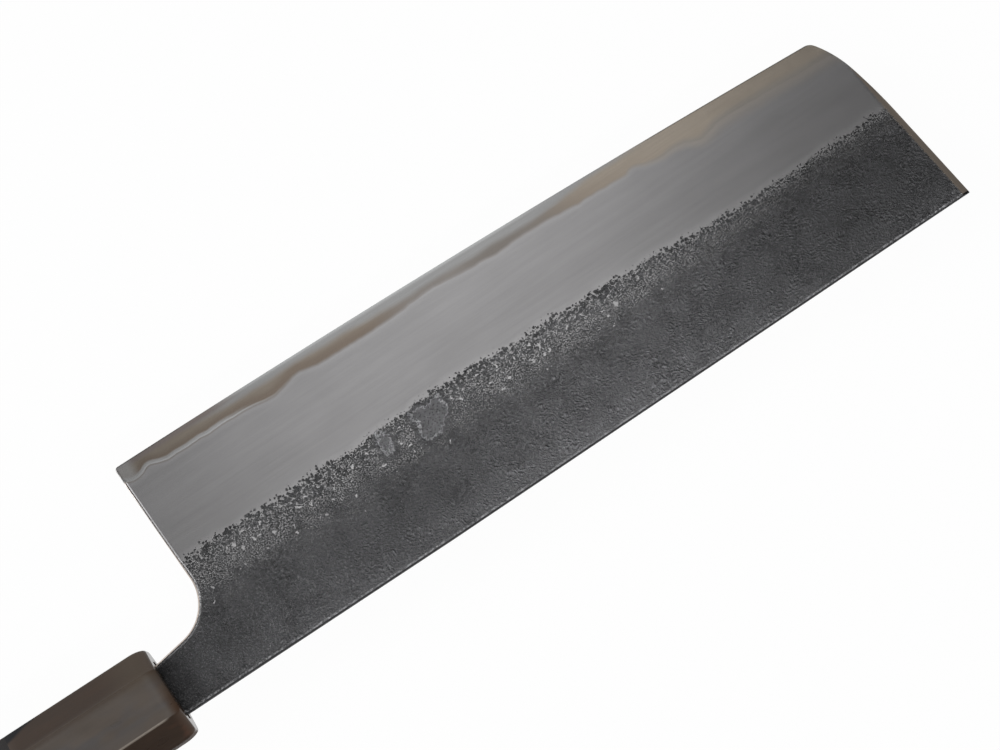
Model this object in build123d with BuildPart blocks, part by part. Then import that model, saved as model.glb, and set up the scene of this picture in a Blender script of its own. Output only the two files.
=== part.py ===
from build123d import *
from math import cos, exp, pi, radians, sin, sqrt, tan
import os

# Nakiri kitchen knife lying on its right side, in millimetres.
# X runs along the handle axis towards the tip, Y towards the cutting edge, and Z up through
# the left face of the blade. The origin is on the handle axis, at the front face of the ferrule.

# Blade outline, seen square to its left face
neck_length = 14.8
blade_length = 180.8
neck_spine_depth = 6.0
neck_top_height = 6.1
heel_height = 51.2
heel_foot_height = 14.8
heel_lean = 1.1
choil_radius = 9.8
heel_corner_radius = 0.7
spine_rise = 1.15
spine_bend_length = 66.0
tip_height = 44.8
tip_setback = 10.25
edge_bow = 1.0
front_lean_angle = 7.9
front_straight_length = 23.0
front_swell_length = 13.25
front_swell_turn = 7.0
tip_corner_radius = 2.5

# Blade thickness
neck_thickness = 3.8
tip_thickness = 2.0
face_narrowing = 0.6
edge_thickness = 0.3
shinogi_heel_height = 21.9
shinogi_tip_height = 20.2
spine_easing = 0.6
choil_easing = 0.4
tip_bevel_width = 1.35
tip_bevel_depth = 0.55

# Hard core steel between the two soft claddings
core_spine_thickness = 1.0
core_tip_thickness = 0.8
core_edge_thickness = 0.44
lamination_depth = 4.4
# Waves of the line where the core surfaces: place and reach along the blade as shares of its
# length, rise as a share of the lamination depth
lamination_steps = 60
lamination_waves_share = (
    (-0.012, -0.70, 0.012),
    (0.037, -0.30, 0.012),
    (0.200, 0.30, 0.016),
    (0.237, -0.32, 0.012),
    (0.415, -0.26, 0.034),
    (0.508, 0.20, 0.014),
    (0.566, 0.20, 0.010),
    (0.612, 0.14, 0.014),
    (0.692, -0.22, 0.010),
    (0.726, 0.26, 0.014),
    (0.778, 0.50, 0.018),
)

# Tang, the part of the blade inside the handle
tang_length = 92.0
tang_fit = 0.2
tang_neck_length = 4.0
tang_shoulder_length = 4.0
tang_front_height = 10.0
tang_end_height = 6.0
tang_end_thickness = 2.2

# Handle
handle_length = 134.0
ferrule_length = 33.8
handle_front_height = 21.0
handle_front_width = 18.0
handle_corner_cut = 5.4
handle_taper_angle = 0.34
facet_easing = 0.5
front_easing_depth = 0.8
front_easing_reach = 2.2
butt_easing = 1.0
slot_end_gap = 0.9
slot_side_gap = 0.3
slot_corner_radius = 0.5
ferrule_wall = 9.0
dowel_diameter = 14.0
dowel_length = 91.0
dowel_slot_gap = 0.25
dowel_end_wall = 4.0
adhesive_recess = 2.5

# How far the cutting shapes reach past what they cut
overrun = 3.0

# Places worked out from the sizes above
tip_x = neck_length + blade_length
spine_tip_y = spine_rise - neck_spine_depth
edge_heel_y = heel_height - neck_spine_depth
edge_tip_x = tip_x - tip_setback
edge_tip_y = spine_tip_y + tip_height
heel_foot = (neck_length + heel_lean, heel_foot_height - neck_spine_depth)
edge_heel = (neck_length, edge_heel_y)
edge_tip = (edge_tip_x, edge_tip_y)


def linear(at, start, start_value, end, end_value):
    """Value at a place on the straight line through two known values."""
    return start_value + (end_value - start_value) * (at - start) / (end - start)


def edge_line_y(x):
    """Straight line through the two ends of the edge."""
    return linear(x, neck_length, edge_heel_y, edge_tip_x, edge_tip_y)


def edge_curve_y(x):
    """The edge itself, bowed out from that line."""
    across = linear(x, neck_length, -1, edge_tip_x, 1)
    return edge_line_y(x) + edge_bow * (1 - across**2)


def core_showing(along):
    """How far in from the edge the core shows, at a share of the blade's length."""
    depth_share = 1
    for place, rise, reach in lamination_waves_share:
        depth_share += rise * exp(-(((along - place) / reach) ** 2))
    return lamination_depth * depth_share


def shinogi_y(x):
    """Line where the scaled face ends and the wide bevel starts."""
    return linear(x, neck_length, shinogi_heel_height, tip_x, shinogi_tip_height)


def face_z(x, y):
    """Half thickness on the scaled face, a plane that thins to the tip and to the edge."""
    at_spine = linear(x, 0, neck_thickness, tip_x, tip_thickness) / 2
    narrowed = linear(y, -neck_spine_depth, 0, shinogi_heel_height, face_narrowing) / 2
    return at_spine - narrowed


def bevel_z(x, y):
    """Half thickness on the wide bevel, ruled from the shinogi to the edge line."""
    at_shinogi = face_z(x, shinogi_y(x))
    return linear(y, shinogi_y(x), at_shinogi, edge_line_y(x), edge_thickness / 2)


def plane_through(first, second, third):
    """Plane through three points, its normal away from the middle of the blade."""
    along = Vector(*second) - Vector(*first)
    across = Vector(*third) - Vector(*first)
    normal = along.cross(across)
    if normal.Z * first[2] < 0:
        normal = -normal
    return Plane(origin=first, x_dir=along, z_dir=normal)


def across_handle(x):
    """Plane square to the handle axis, its own X along Y and its own Y along Z."""
    return Plane.YZ.offset(x)


# Forged blade in one piece, before it is divided into its layers
front_turn = (
    tip_x - front_straight_length * sin(radians(front_lean_angle)),
    spine_tip_y + front_straight_length * cos(radians(front_lean_angle)),
)
swell_angle = front_lean_angle + front_swell_turn / 2
front_shoulder = (
    front_turn[0] - front_swell_length * sin(radians(swell_angle)),
    front_turn[1] + front_swell_length * cos(radians(swell_angle)),
)

with BuildPart() as forged_blade:
    with BuildSketch() as blade_outline:
        with BuildLine():
            spine = Polyline(
                (0, -neck_spine_depth),
                (spine_bend_length, -neck_spine_depth),
                (tip_x, spine_tip_y),
            )
            front = Line(spine @ 1, front_turn)
            swell = TangentArc(front_turn, front_shoulder, tangent=front % 1)
            TangentArc(front_shoulder, edge_tip, tangent=swell % 1)
            middle_x = (neck_length + edge_tip_x) / 2
            ThreePointArc(edge_tip, (middle_x, edge_curve_y(middle_x)), edge_heel)
            Polyline(edge_heel, heel_foot, (0, neck_top_height), spine @ 0)
        make_face()
        for corner, radius in (
            (heel_foot, choil_radius),
            (edge_heel, heel_corner_radius),
            (edge_tip, tip_corner_radius),
        ):
            fillet(blade_outline.vertices().sort_by_distance(corner)[0], radius)
    extrude(amount=neck_thickness, both=True)
    for side in (1, -1):
        near_spine = (0, -neck_spine_depth)
        at_tip = (tip_x, spine_tip_y)
        near_shinogi = (0, shinogi_heel_height)
        corners = [(x, y, side * face_z(x, y)) for x, y in (near_spine, at_tip, near_shinogi)]
        split(bisect_by=plane_through(*corners), keep=Keep.BOTTOM)
    rims = forged_blade.edges().filter_by(lambda edge: edge.center().Z != 0)
    fillet(rims.filter_by(lambda edge: 0 < edge.center().X < heel_foot[0]), choil_easing)
    rims = forged_blade.edges().filter_by(lambda edge: edge.center().Z != 0)
    fillet(rims.filter_by(lambda edge: edge.center().Y < -neck_spine_depth / 2), spine_easing)

# Cutter for the wide bevel of the left side: all that lies above the ruled bevel surface
with BuildPart() as bevel_cutter:
    for x in (-overrun, tip_x + overrun):
        low_y = shinogi_y(x) - overrun
        high_y = edge_line_y(x) + overrun
        with BuildSketch(across_handle(x)):
            with BuildLine():
                Polyline(
                    (low_y, bevel_z(x, low_y)),
                    (high_y, bevel_z(x, high_y)),
                    (high_y, neck_thickness),
                    (low_y, neck_thickness),
                    close=True,
                )
            make_face()
    loft(ruled=True)

with BuildPart() as ground_blade:
    add(forged_blade.part)
    add(bevel_cutter.part, mode=Mode.SUBTRACT)
    add(mirror(bevel_cutter.part, about=Plane.XY, mode=Mode.PRIVATE), mode=Mode.SUBTRACT)
    for side in (1, -1):
        face_at_tip = face_z(tip_x, spine_tip_y)
        inner = (tip_x - tip_bevel_width, spine_tip_y, side * face_at_tip)
        outer = (tip_x, spine_tip_y, side * (face_at_tip - tip_bevel_depth))
        shoulder = (*front_shoulder, side * bevel_z(*front_shoulder))
        split(bisect_by=plane_through(inner, outer, shoulder), keep=Keep.BOTTOM)

# Tang, thinned to its end and narrower than the neck on every side
with BuildPart() as tang:
    neck_back = -tang_neck_length
    shoulder_back = neck_back - tang_shoulder_length
    with BuildSketch():
        with BuildLine():
            Polyline(
                (0, tang_fit - neck_spine_depth),
                (neck_back, tang_fit - neck_spine_depth),
                (shoulder_back, -tang_front_height / 2),
                (-tang_length, -tang_end_height / 2),
                (-tang_length, tang_end_height / 2),
                (shoulder_back, tang_front_height / 2),
                (neck_back, neck_top_height - tang_fit),
                (0, neck_top_height - tang_fit),
                close=True,
            )
        make_face()
    extrude(amount=neck_thickness, both=True)
    with BuildSketch(Plane.XZ):
        with BuildLine():
            front_half = neck_thickness / 2 - tang_fit
            end_half = tang_end_thickness / 2
            Polyline(
                (0, front_half),
                (-tang_length, end_half),
                (-tang_length, -end_half),
                (0, -front_half),
                close=True,
            )
        make_face()
    extrude(amount=heel_height, both=True, mode=Mode.INTERSECT)

with BuildPart() as blade_blank:
    add(ground_blade.part)
    add(tang.part)

# Space of the core steel: a thin plate between two planes, and all beyond the lamination line
with BuildPart() as core_space:
    with BuildSketch():
        with BuildLine():
            Polyline(
                (-tang_length - overrun, -neck_spine_depth - overrun),
                (tip_x + overrun, -neck_spine_depth - overrun),
                (tip_x + overrun, edge_heel_y + overrun),
                (-tang_length - overrun, edge_heel_y + overrun),
                close=True,
            )
        make_face()
    extrude(amount=neck_thickness, both=True)
    for side in (1, -1):
        at_neck = (0, -neck_spine_depth, side * core_spine_thickness / 2)
        at_tip = (tip_x, -neck_spine_depth, side * core_tip_thickness / 2)
        at_edge = (0, edge_heel_y, side * core_edge_thickness / 2)
        split(bisect_by=plane_through(at_neck, at_tip, at_edge), keep=Keep.BOTTOM)
    with BuildSketch():
        with BuildLine():
            surfacing = []
            for step in range(-1, lamination_steps + 2):
                along = step / lamination_steps
                x = neck_length + along * blade_length
                surfacing.append((x, edge_curve_y(x) - core_showing(along)))
            beyond_edge = edge_heel_y + overrun
            Polyline(
                *surfacing,
                (surfacing[-1][0], beyond_edge),
                (surfacing[0][0], beyond_edge),
                close=True,
            )
        make_face()
    extrude(amount=neck_thickness, both=True)

with BuildPart() as core_steel:
    add(blade_blank.part)
    add(core_space.part, mode=Mode.INTERSECT)

with BuildPart() as cladding_left:
    add(blade_blank.part)
    add(core_space.part, mode=Mode.SUBTRACT)
    split(bisect_by=Plane.XY, keep=Keep.TOP)

with BuildPart() as cladding_right:
    add(blade_blank.part)
    add(core_space.part, mode=Mode.SUBTRACT)
    split(bisect_by=Plane.XY, keep=Keep.BOTTOM)

# Octagonal handle in one piece, before it is parted behind the ferrule: a block cut by its facets
half_height = handle_front_height / 2
half_width = handle_front_width / 2
half_corner = (half_height + half_width - handle_corner_cut) / sqrt(2)
taper = radians(handle_taper_angle)
block_margin = 2 * handle_length * tan(taper) + overrun

with BuildPart() as handle_blank:
    with BuildSketch(across_handle(-handle_length)):
        Rectangle(handle_front_height + block_margin, handle_front_width + block_margin)
    extrude(amount=handle_length)
    for eighth in range(8):
        turn = eighth * pi / 4
        reach = (half_height, half_corner, half_width, half_corner)[eighth % 4]
        outward = Vector(sin(taper), cos(taper) * cos(turn), cos(taper) * sin(turn))
        facet = Plane(origin=(0, reach * cos(turn), reach * sin(turn)), z_dir=outward)
        split(bisect_by=facet, keep=Keep.BOTTOM)
    front_face = handle_blank.faces().sort_by(Axis.X)[-1]
    chamfer(front_face.edges(), front_easing_depth, front_easing_reach, reference=front_face)
    long_edges = handle_blank.edges().filter_by(lambda edge: edge.length > handle_length / 2)
    fillet(long_edges, facet_easing)
    fillet(handle_blank.faces().sort_by(Axis.X)[0].edges(), butt_easing)

slot_height = neck_spine_depth + neck_top_height + 2 * slot_end_gap
slot_width = neck_thickness + 2 * slot_side_gap
slot_middle_y = (neck_top_height - neck_spine_depth) / 2
dowel_slot_height = tang_front_height + 2 * dowel_slot_gap
dowel_slot_width = neck_thickness - 2 * tang_fit + 2 * dowel_slot_gap
dowel_end_x = -ferrule_wall - dowel_length

with BuildPart() as ferrule:
    add(handle_blank.part)
    split(bisect_by=across_handle(-ferrule_length), keep=Keep.TOP)
    with BuildSketch(across_handle(-ferrule_length)):
        Circle(dowel_diameter / 2)
    extrude(amount=ferrule_length - ferrule_wall, mode=Mode.SUBTRACT)
    with BuildSketch(across_handle(-ferrule_wall)):
        with Locations((slot_middle_y, 0)):
            RectangleRounded(slot_height, slot_width, slot_corner_radius)
    extrude(amount=ferrule_wall, mode=Mode.SUBTRACT)

with BuildPart() as handle_body:
    add(handle_blank.part)
    split(bisect_by=across_handle(-ferrule_length), keep=Keep.BOTTOM)
    with BuildSketch(across_handle(dowel_end_x)):
        Circle(dowel_diameter / 2)
    extrude(amount=-ferrule_length - dowel_end_x, mode=Mode.SUBTRACT)

with BuildPart() as dowel:
    with BuildSketch(across_handle(dowel_end_x)):
        Circle(dowel_diameter / 2)
    extrude(amount=dowel_length)
    with BuildSketch(across_handle(dowel_end_x + dowel_end_wall)):
        Rectangle(dowel_slot_height, dowel_slot_width)
    extrude(amount=dowel_length - dowel_end_wall, mode=Mode.SUBTRACT)

# Adhesive round the tang: it fills both slots and stops short of the ferrule's front face
with BuildPart() as tang_adhesive:
    with BuildSketch(across_handle(-ferrule_wall)):
        with Locations((slot_middle_y, 0)):
            RectangleRounded(slot_height, slot_width, slot_corner_radius)
    extrude(amount=ferrule_wall - adhesive_recess)
    with BuildSketch(across_handle(dowel_end_x + dowel_end_wall)):
        Rectangle(dowel_slot_height, dowel_slot_width)
    extrude(amount=dowel_length - dowel_end_wall)
    add(blade_blank.part, mode=Mode.SUBTRACT)

os.makedirs("parts", exist_ok=True)
for name, piece in (
    ("core_steel", core_steel),
    ("cladding_left", cladding_left),
    ("cladding_right", cladding_right),
    ("ferrule", ferrule),
    ("handle_body", handle_body),
    ("dowel", dowel),
    ("tang_adhesive", tang_adhesive),
):
    piece.part.label = name
    export_step(piece.part, f"parts/{name}.step")
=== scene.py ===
from math import acos, atan2, ceil, cos, degrees, hypot, pi, radians, sin, sqrt, tan

import bpy
import numpy as np
from mathutils import Matrix, Vector
from mathutils.geometry import delaunay_2d_cdt, tessellate_polygon
from mathutils.kdtree import KDTree
from numpy.linalg import norm


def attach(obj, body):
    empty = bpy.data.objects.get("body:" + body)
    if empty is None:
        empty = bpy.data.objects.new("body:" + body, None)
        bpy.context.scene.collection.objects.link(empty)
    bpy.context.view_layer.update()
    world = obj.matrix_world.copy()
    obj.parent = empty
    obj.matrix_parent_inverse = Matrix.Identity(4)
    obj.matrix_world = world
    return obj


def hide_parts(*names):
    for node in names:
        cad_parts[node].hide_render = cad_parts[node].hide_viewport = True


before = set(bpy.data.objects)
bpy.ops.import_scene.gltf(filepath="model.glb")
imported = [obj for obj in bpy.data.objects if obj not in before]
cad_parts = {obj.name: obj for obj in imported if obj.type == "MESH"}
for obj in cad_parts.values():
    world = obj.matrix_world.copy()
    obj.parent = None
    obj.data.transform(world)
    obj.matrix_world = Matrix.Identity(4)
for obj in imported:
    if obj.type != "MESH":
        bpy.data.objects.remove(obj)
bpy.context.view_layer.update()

# Lengths are in millimetres and become metres when a mesh is made. X runs along the handle to
# the tip, Y towards the cutting edge, and Z up out of the left face of the blade.
MM = 0.001

# Blade outline and thickness, as in the solids but for the wider easing of the choil
NECK_LENGTH = 14.8
BLADE_LENGTH = 180.8
NECK_SPINE_DEPTH = 6.0
NECK_TOP_HEIGHT = 6.1
HEEL_HEIGHT = 51.2
HEEL_FOOT_HEIGHT = 14.8
HEEL_LEAN = 1.1
CHOIL_RADIUS = 9.8
HEEL_CORNER_RADIUS = 0.7
SPINE_RISE = 1.15
SPINE_BEND_LENGTH = 66.0
TIP_HEIGHT = 44.8
TIP_SETBACK = 10.25
EDGE_BOW = 1.0
FRONT_LEAN_ANGLE = 7.9
FRONT_STRAIGHT_LENGTH = 23.0
FRONT_SWELL_LENGTH = 13.25
FRONT_SWELL_TURN = 7.0
TIP_CORNER_RADIUS = 2.5
NECK_THICKNESS = 3.8
TIP_THICKNESS = 2.0
FACE_NARROWING = 0.6
EDGE_THICKNESS = 0.3
SHINOGI_HEEL_HEIGHT = 21.9
SHINOGI_TIP_HEIGHT = 20.2
SPINE_EASING = 0.6
CHOIL_EASING = 0.9
HEEL_EASING = 0.14
TIP_BEVEL_WIDTH = 1.35
TIP_BEVEL_DEPTH = 0.55
CORE_SPINE_THICKNESS = 1.0
CORE_TIP_THICKNESS = 0.8
CORE_EDGE_THICKNESS = 0.44
TANG_LENGTH = 92.0
TANG_FIT = 0.2
TANG_NECK_LENGTH = 4.0
TANG_SHOULDER_LENGTH = 4.0
TANG_FRONT_HEIGHT = 10.0
TANG_END_HEIGHT = 6.0
TANG_END_THICKNESS = 2.2

# Line where the core steel surfaces: place and reach along the blade as shares of its length,
# rise as a share of the depth. The waves are softer than those of the solids, and the fine
# ripple is the scene's own.
LAMINATION_DEPTH = 4.4
LAMINATION_WAVES_SHARE = (
    (-0.012, -0.70, 0.012),
    (0.037, -0.24, 0.012),
    (0.198, 0.15, 0.022),
    (0.237, -0.20, 0.015),
    (0.415, -0.24, 0.038),
    (0.508, 0.08, 0.014),
    (0.550, -0.14, 0.090),
    (0.612, 0.06, 0.014),
    (0.692, -0.18, 0.010),
    (0.726, 0.12, 0.014),
    (0.778, 0.34, 0.018),
)
LAMINATION_RIPPLE = 0.1

# Border of the forge scale: how far it keeps back from the shinogi line, and its waves as
# place along the blade, rise and reach
BORDER_DROP = 1.0
BORDER_WAVES = ((80.0, 1.4, 13.0), (110.0, 0.5, 20.0), (157.0, -0.9, 17.0))

# Handle, as in the solids but for the rounder front edge and the seam behind the ferrule
HANDLE_LENGTH = 134.0
FERRULE_LENGTH = 33.8
HANDLE_FRONT_HEIGHT = 21.0
HANDLE_FRONT_WIDTH = 18.0
HANDLE_CORNER_CUT = 5.4
HANDLE_TAPER_ANGLE = 0.34
SLOT_END_GAP = 0.9
SLOT_SIDE_GAP = 0.3
FERRULE_WALL = 9.0
DOWEL_DIAMETER = 14.0
DOWEL_LENGTH = 91.0
FRONT_ROUNDING_DEPTH = 1.1
FRONT_ROUNDING_REACH = 3.6
BUTT_ROUNDING = 1.0
SEAM_DEPTH = 0.06

# Spacing of the blade's mesh
GRID = 0.42
OUTLINE_STEP = 0.45
TANG_STEP = 3.0

# Camera: a long lens nearly square to the blade, leaning towards the spine side
CAMERA_TARGET = (92.57, 17.30, 0.0)
CAMERA_DISTANCE = 750.0
CAMERA_ROLL = 33.414
CAMERA_LEAN = 6.78
CAMERA_SIDE = 0.97
CAMERA_LENS = 129.59

TIP_X = NECK_LENGTH + BLADE_LENGTH
SPINE_TIP_Y = SPINE_RISE - NECK_SPINE_DEPTH
EDGE_HEEL_Y = HEEL_HEIGHT - NECK_SPINE_DEPTH
EDGE_TIP_X = TIP_X - TIP_SETBACK
EDGE_TIP_Y = SPINE_TIP_Y + TIP_HEIGHT


def linear(at, start, start_value, end, end_value):
    """Value at a place on the straight line through two known values."""
    return start_value + (end_value - start_value) * (at - start) / (end - start)


def smooth_step(low, high, value):
    share = np.clip((value - low) / (high - low), 0, 1)
    return share * share * (3 - 2 * share)


def lumps(x, y, size, seed):
    """Smooth random height between -1 and 1, with lumps of about the given size."""
    lattice = np.random.default_rng(seed).uniform(-1, 1, (257, 257))
    column, row = np.broadcast_arrays(np.asarray(x, float) / size, np.asarray(y, float) / size)
    left, low = np.floor(column).astype(int), np.floor(row).astype(int)
    across, up = column - left, row - low
    across = across * across * (3 - 2 * across)
    up = up * up * (3 - 2 * up)

    def corner(i, j):
        return lattice[(left + i) % 257, (low + j) % 257]

    lower = corner(0, 0) * (1 - across) + corner(1, 0) * across
    upper = corner(0, 1) * (1 - across) + corner(1, 1) * across
    return lower * (1 - up) + upper * up


# Blade: lines seen square to its face


def edge_line_y(x):
    return linear(x, NECK_LENGTH, EDGE_HEEL_Y, EDGE_TIP_X, EDGE_TIP_Y)


def edge_curve_y(x):
    across = linear(x, NECK_LENGTH, -1, EDGE_TIP_X, 1)
    return edge_line_y(x) + EDGE_BOW * (1 - across**2)


def lamination_y(x, seed):
    along = (x - NECK_LENGTH) / BLADE_LENGTH
    depth_share = 1
    for place, rise, reach in LAMINATION_WAVES_SHARE:
        depth_share = depth_share + rise * np.exp(-(((along - place) / reach) ** 2))
    ripple = lumps(x, seed, 1.6, seed) + 0.5 * lumps(x, seed, 0.7, seed + 1)
    return edge_curve_y(x) - LAMINATION_DEPTH * depth_share + LAMINATION_RIPPLE * ripple


def shinogi_y(x):
    return linear(x, NECK_LENGTH, SHINOGI_HEEL_HEIGHT, TIP_X, SHINOGI_TIP_HEIGHT)


def border_y(x):
    """Border of the forge scale, where the ground bevel cuts into it."""
    rise = -BORDER_DROP
    for place, height, reach in BORDER_WAVES:
        rise = rise + height * np.exp(-(((x - place) / reach) ** 2))
    return shinogi_y(x) + rise


def face_z(x, y):
    at_spine = linear(x, 0, NECK_THICKNESS, TIP_X, TIP_THICKNESS) / 2
    narrowed = linear(y, -NECK_SPINE_DEPTH, 0, SHINOGI_HEEL_HEIGHT, FACE_NARROWING) / 2
    return at_spine - narrowed


def bevel_z(x, y):
    at_shinogi = face_z(x, shinogi_y(x))
    return linear(y, shinogi_y(x), at_shinogi, edge_line_y(x), EDGE_THICKNESS / 2)


def core_z(x, y):
    """Half thickness of the core steel under the claddings."""
    at_spine = linear(x, 0, CORE_SPINE_THICKNESS, TIP_X, CORE_TIP_THICKNESS) / 2
    thinning = (CORE_SPINE_THICKNESS - CORE_EDGE_THICKNESS) / 2
    return at_spine - thinning * (y + NECK_SPINE_DEPTH) / (EDGE_HEEL_Y + NECK_SPINE_DEPTH)


def front_points():
    """Where the straight part of the front ends, and where its swell ends."""
    lean = radians(FRONT_LEAN_ANGLE)
    turn = (
        TIP_X - FRONT_STRAIGHT_LENGTH * sin(lean),
        SPINE_TIP_Y + FRONT_STRAIGHT_LENGTH * cos(lean),
    )
    swell = radians(FRONT_LEAN_ANGLE + FRONT_SWELL_TURN / 2)
    shoulder = (
        turn[0] - FRONT_SWELL_LENGTH * sin(swell),
        turn[1] + FRONT_SWELL_LENGTH * cos(swell),
    )
    return turn, shoulder


def tip_bevel_z(x, y):
    """Half thickness that the ground strip along the front leaves: a plane through three points."""
    shoulder = front_points()[1]
    face = face_z(TIP_X, SPINE_TIP_Y)
    inner = np.array((TIP_X - TIP_BEVEL_WIDTH, SPINE_TIP_Y, face))
    outer = np.array((TIP_X, SPINE_TIP_Y, face - TIP_BEVEL_DEPTH))
    top = np.array((*shoulder, bevel_z(*shoulder)))
    normal = np.cross(outer - inner, top - inner)
    return inner[2] - (normal[0] * (x - inner[0]) + normal[1] * (y - inner[1])) / normal[2]


def tangent_arc(start, heading, end, steps):
    """Points of the arc that leaves start along heading and reaches end, and its last heading."""
    start, heading, end = (np.asarray(value, float) for value in (start, heading, end))
    heading = heading / norm(heading)
    normal = np.array((-heading[1], heading[0]))
    chord = end - start
    radius = chord @ chord / (2 * (normal @ chord))
    turn = 2 * atan2(heading[0] * chord[1] - heading[1] * chord[0], heading @ chord)
    arm = -radius * normal
    angles = np.linspace(0, turn, steps + 1)
    cosine, sine = np.cos(angles), np.sin(angles)
    arms = np.stack((arm[0] * cosine - arm[1] * sine, arm[0] * sine + arm[1] * cosine), 1)
    last = (
        heading[0] * cos(turn) - heading[1] * sin(turn),
        heading[0] * sin(turn) + heading[1] * cos(turn),
    )
    return start + radius * normal + arms, last


def spread(points, step):
    """The same path with points no further apart than step."""
    path = [np.asarray(points[0], float)]
    for point in points[1:]:
        point = np.asarray(point, float)
        pieces = max(1, ceil(norm(point - path[-1]) / step))
        start = path[-1]
        path += [start + (point - start) * (k + 1) / pieces for k in range(pieces)]
    return path


def rounded(path, corner, radius):
    """A closed path with one corner rounded, for a corner between nearly straight runs."""
    path = np.asarray(path)
    corner = np.asarray(corner, float)
    place = int(np.argmin(norm(path - corner, axis=1)))
    path = np.roll(path, -place, axis=0)
    arrive = corner - path[-4]
    leave = path[4] - corner
    arrive, leave = arrive / norm(arrive), leave / norm(leave)
    turn = acos(np.clip(arrive @ leave, -1, 1))
    reach = radius * tan(turn / 2)
    keep = norm(path - corner, axis=1) > reach + OUTLINE_STEP / 4
    steps = max(4, ceil(radius * turn / OUTLINE_STEP))
    arc, _ = tangent_arc(corner - reach * arrive, arrive, corner + reach * leave, steps)
    path = np.concatenate((path[keep], arc))
    return np.roll(path, place, axis=0)


def blade_outline():
    """Closed outline of blade and tang, counter-clockwise, and the easing radius at each point."""
    lean = radians(FRONT_LEAN_ANGLE)
    turn, shoulder = front_points()
    swell, heading = tangent_arc(turn, (-sin(lean), cos(lean)), shoulder, 30)
    crown, _ = tangent_arc(shoulder, heading, (EDGE_TIP_X, EDGE_TIP_Y), 24)
    spine = [(0, -NECK_SPINE_DEPTH), (SPINE_BEND_LENGTH, -NECK_SPINE_DEPTH), (TIP_X, SPINE_TIP_Y)]
    xs = np.linspace(EDGE_TIP_X, NECK_LENGTH, int(BLADE_LENGTH / OUTLINE_STEP))[1:-1]
    edge = [(x, edge_curve_y(x)) for x in xs]
    edge_heel = (NECK_LENGTH, EDGE_HEEL_Y)
    heel_foot = (NECK_LENGTH + HEEL_LEAN, HEEL_FOOT_HEIGHT - NECK_SPINE_DEPTH)
    blade = spine + [turn, *swell[1:], *crown[1:], *edge, edge_heel, heel_foot]
    blade = spread(blade + [(0, NECK_TOP_HEIGHT)], OUTLINE_STEP)
    shoulder_back = -TANG_NECK_LENGTH - TANG_SHOULDER_LENGTH
    tang = [
        (0, NECK_TOP_HEIGHT),
        (0, NECK_TOP_HEIGHT - TANG_FIT),
        (-TANG_NECK_LENGTH, NECK_TOP_HEIGHT - TANG_FIT),
        (shoulder_back, TANG_FRONT_HEIGHT / 2),
        (-TANG_LENGTH, TANG_END_HEIGHT / 2),
        (-TANG_LENGTH, -TANG_END_HEIGHT / 2),
        (shoulder_back, -TANG_FRONT_HEIGHT / 2),
        (-TANG_NECK_LENGTH, TANG_FIT - NECK_SPINE_DEPTH),
        (0, TANG_FIT - NECK_SPINE_DEPTH),
    ]
    path = np.array(blade + spread(tang, TANG_STEP)[1:])
    path = rounded(path, heel_foot, CHOIL_RADIUS)
    path = rounded(path, edge_heel, HEEL_CORNER_RADIUS)
    path = rounded(path, (EDGE_TIP_X, EDGE_TIP_Y), TIP_CORNER_RADIUS)
    x, y = path[:, 0], path[:, 1]
    on_spine = (y < linear(x, 0, -NECK_SPINE_DEPTH, TIP_X, SPINE_TIP_Y) + 0.5) & (x > 0)
    by_neck = (x < heel_foot[0] + 0.5) & (x > 0) & ~on_spine
    up_heel = smooth_step(heel_foot[1], EDGE_HEEL_Y - 6, y)
    easing = np.where(by_neck, CHOIL_EASING + (HEEL_EASING - CHOIL_EASING) * up_heel, 0.03)
    easing = np.where(on_spine, SPINE_EASING, easing)
    easing[y > edge_curve_y(x) - 0.4] = 0.02
    return path, easing


def outline_distance(points, outline, easing):
    """Distance of each point to the outline, and the easing radius of the nearest stretch."""
    tree = KDTree(len(outline))
    for index, (x, y) in enumerate(outline):
        tree.insert((x, y, 0), index)
    tree.balance()
    nearest = np.array([tree.find((x, y, 0))[1] for x, y in points])
    distance = np.full(len(points), np.inf)
    for start, end in ((nearest - 1, nearest), (nearest, (nearest + 1) % len(outline))):
        a, b = outline[start], outline[end]
        run = b - a
        share = np.sum((points - a) * run, 1) / np.maximum(np.sum(run * run, 1), 1e-12)
        foot = a + np.clip(share, 0, 1)[:, None] * run
        distance = np.minimum(distance, norm(points - foot, axis=1))
    return distance, easing[nearest]


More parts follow.
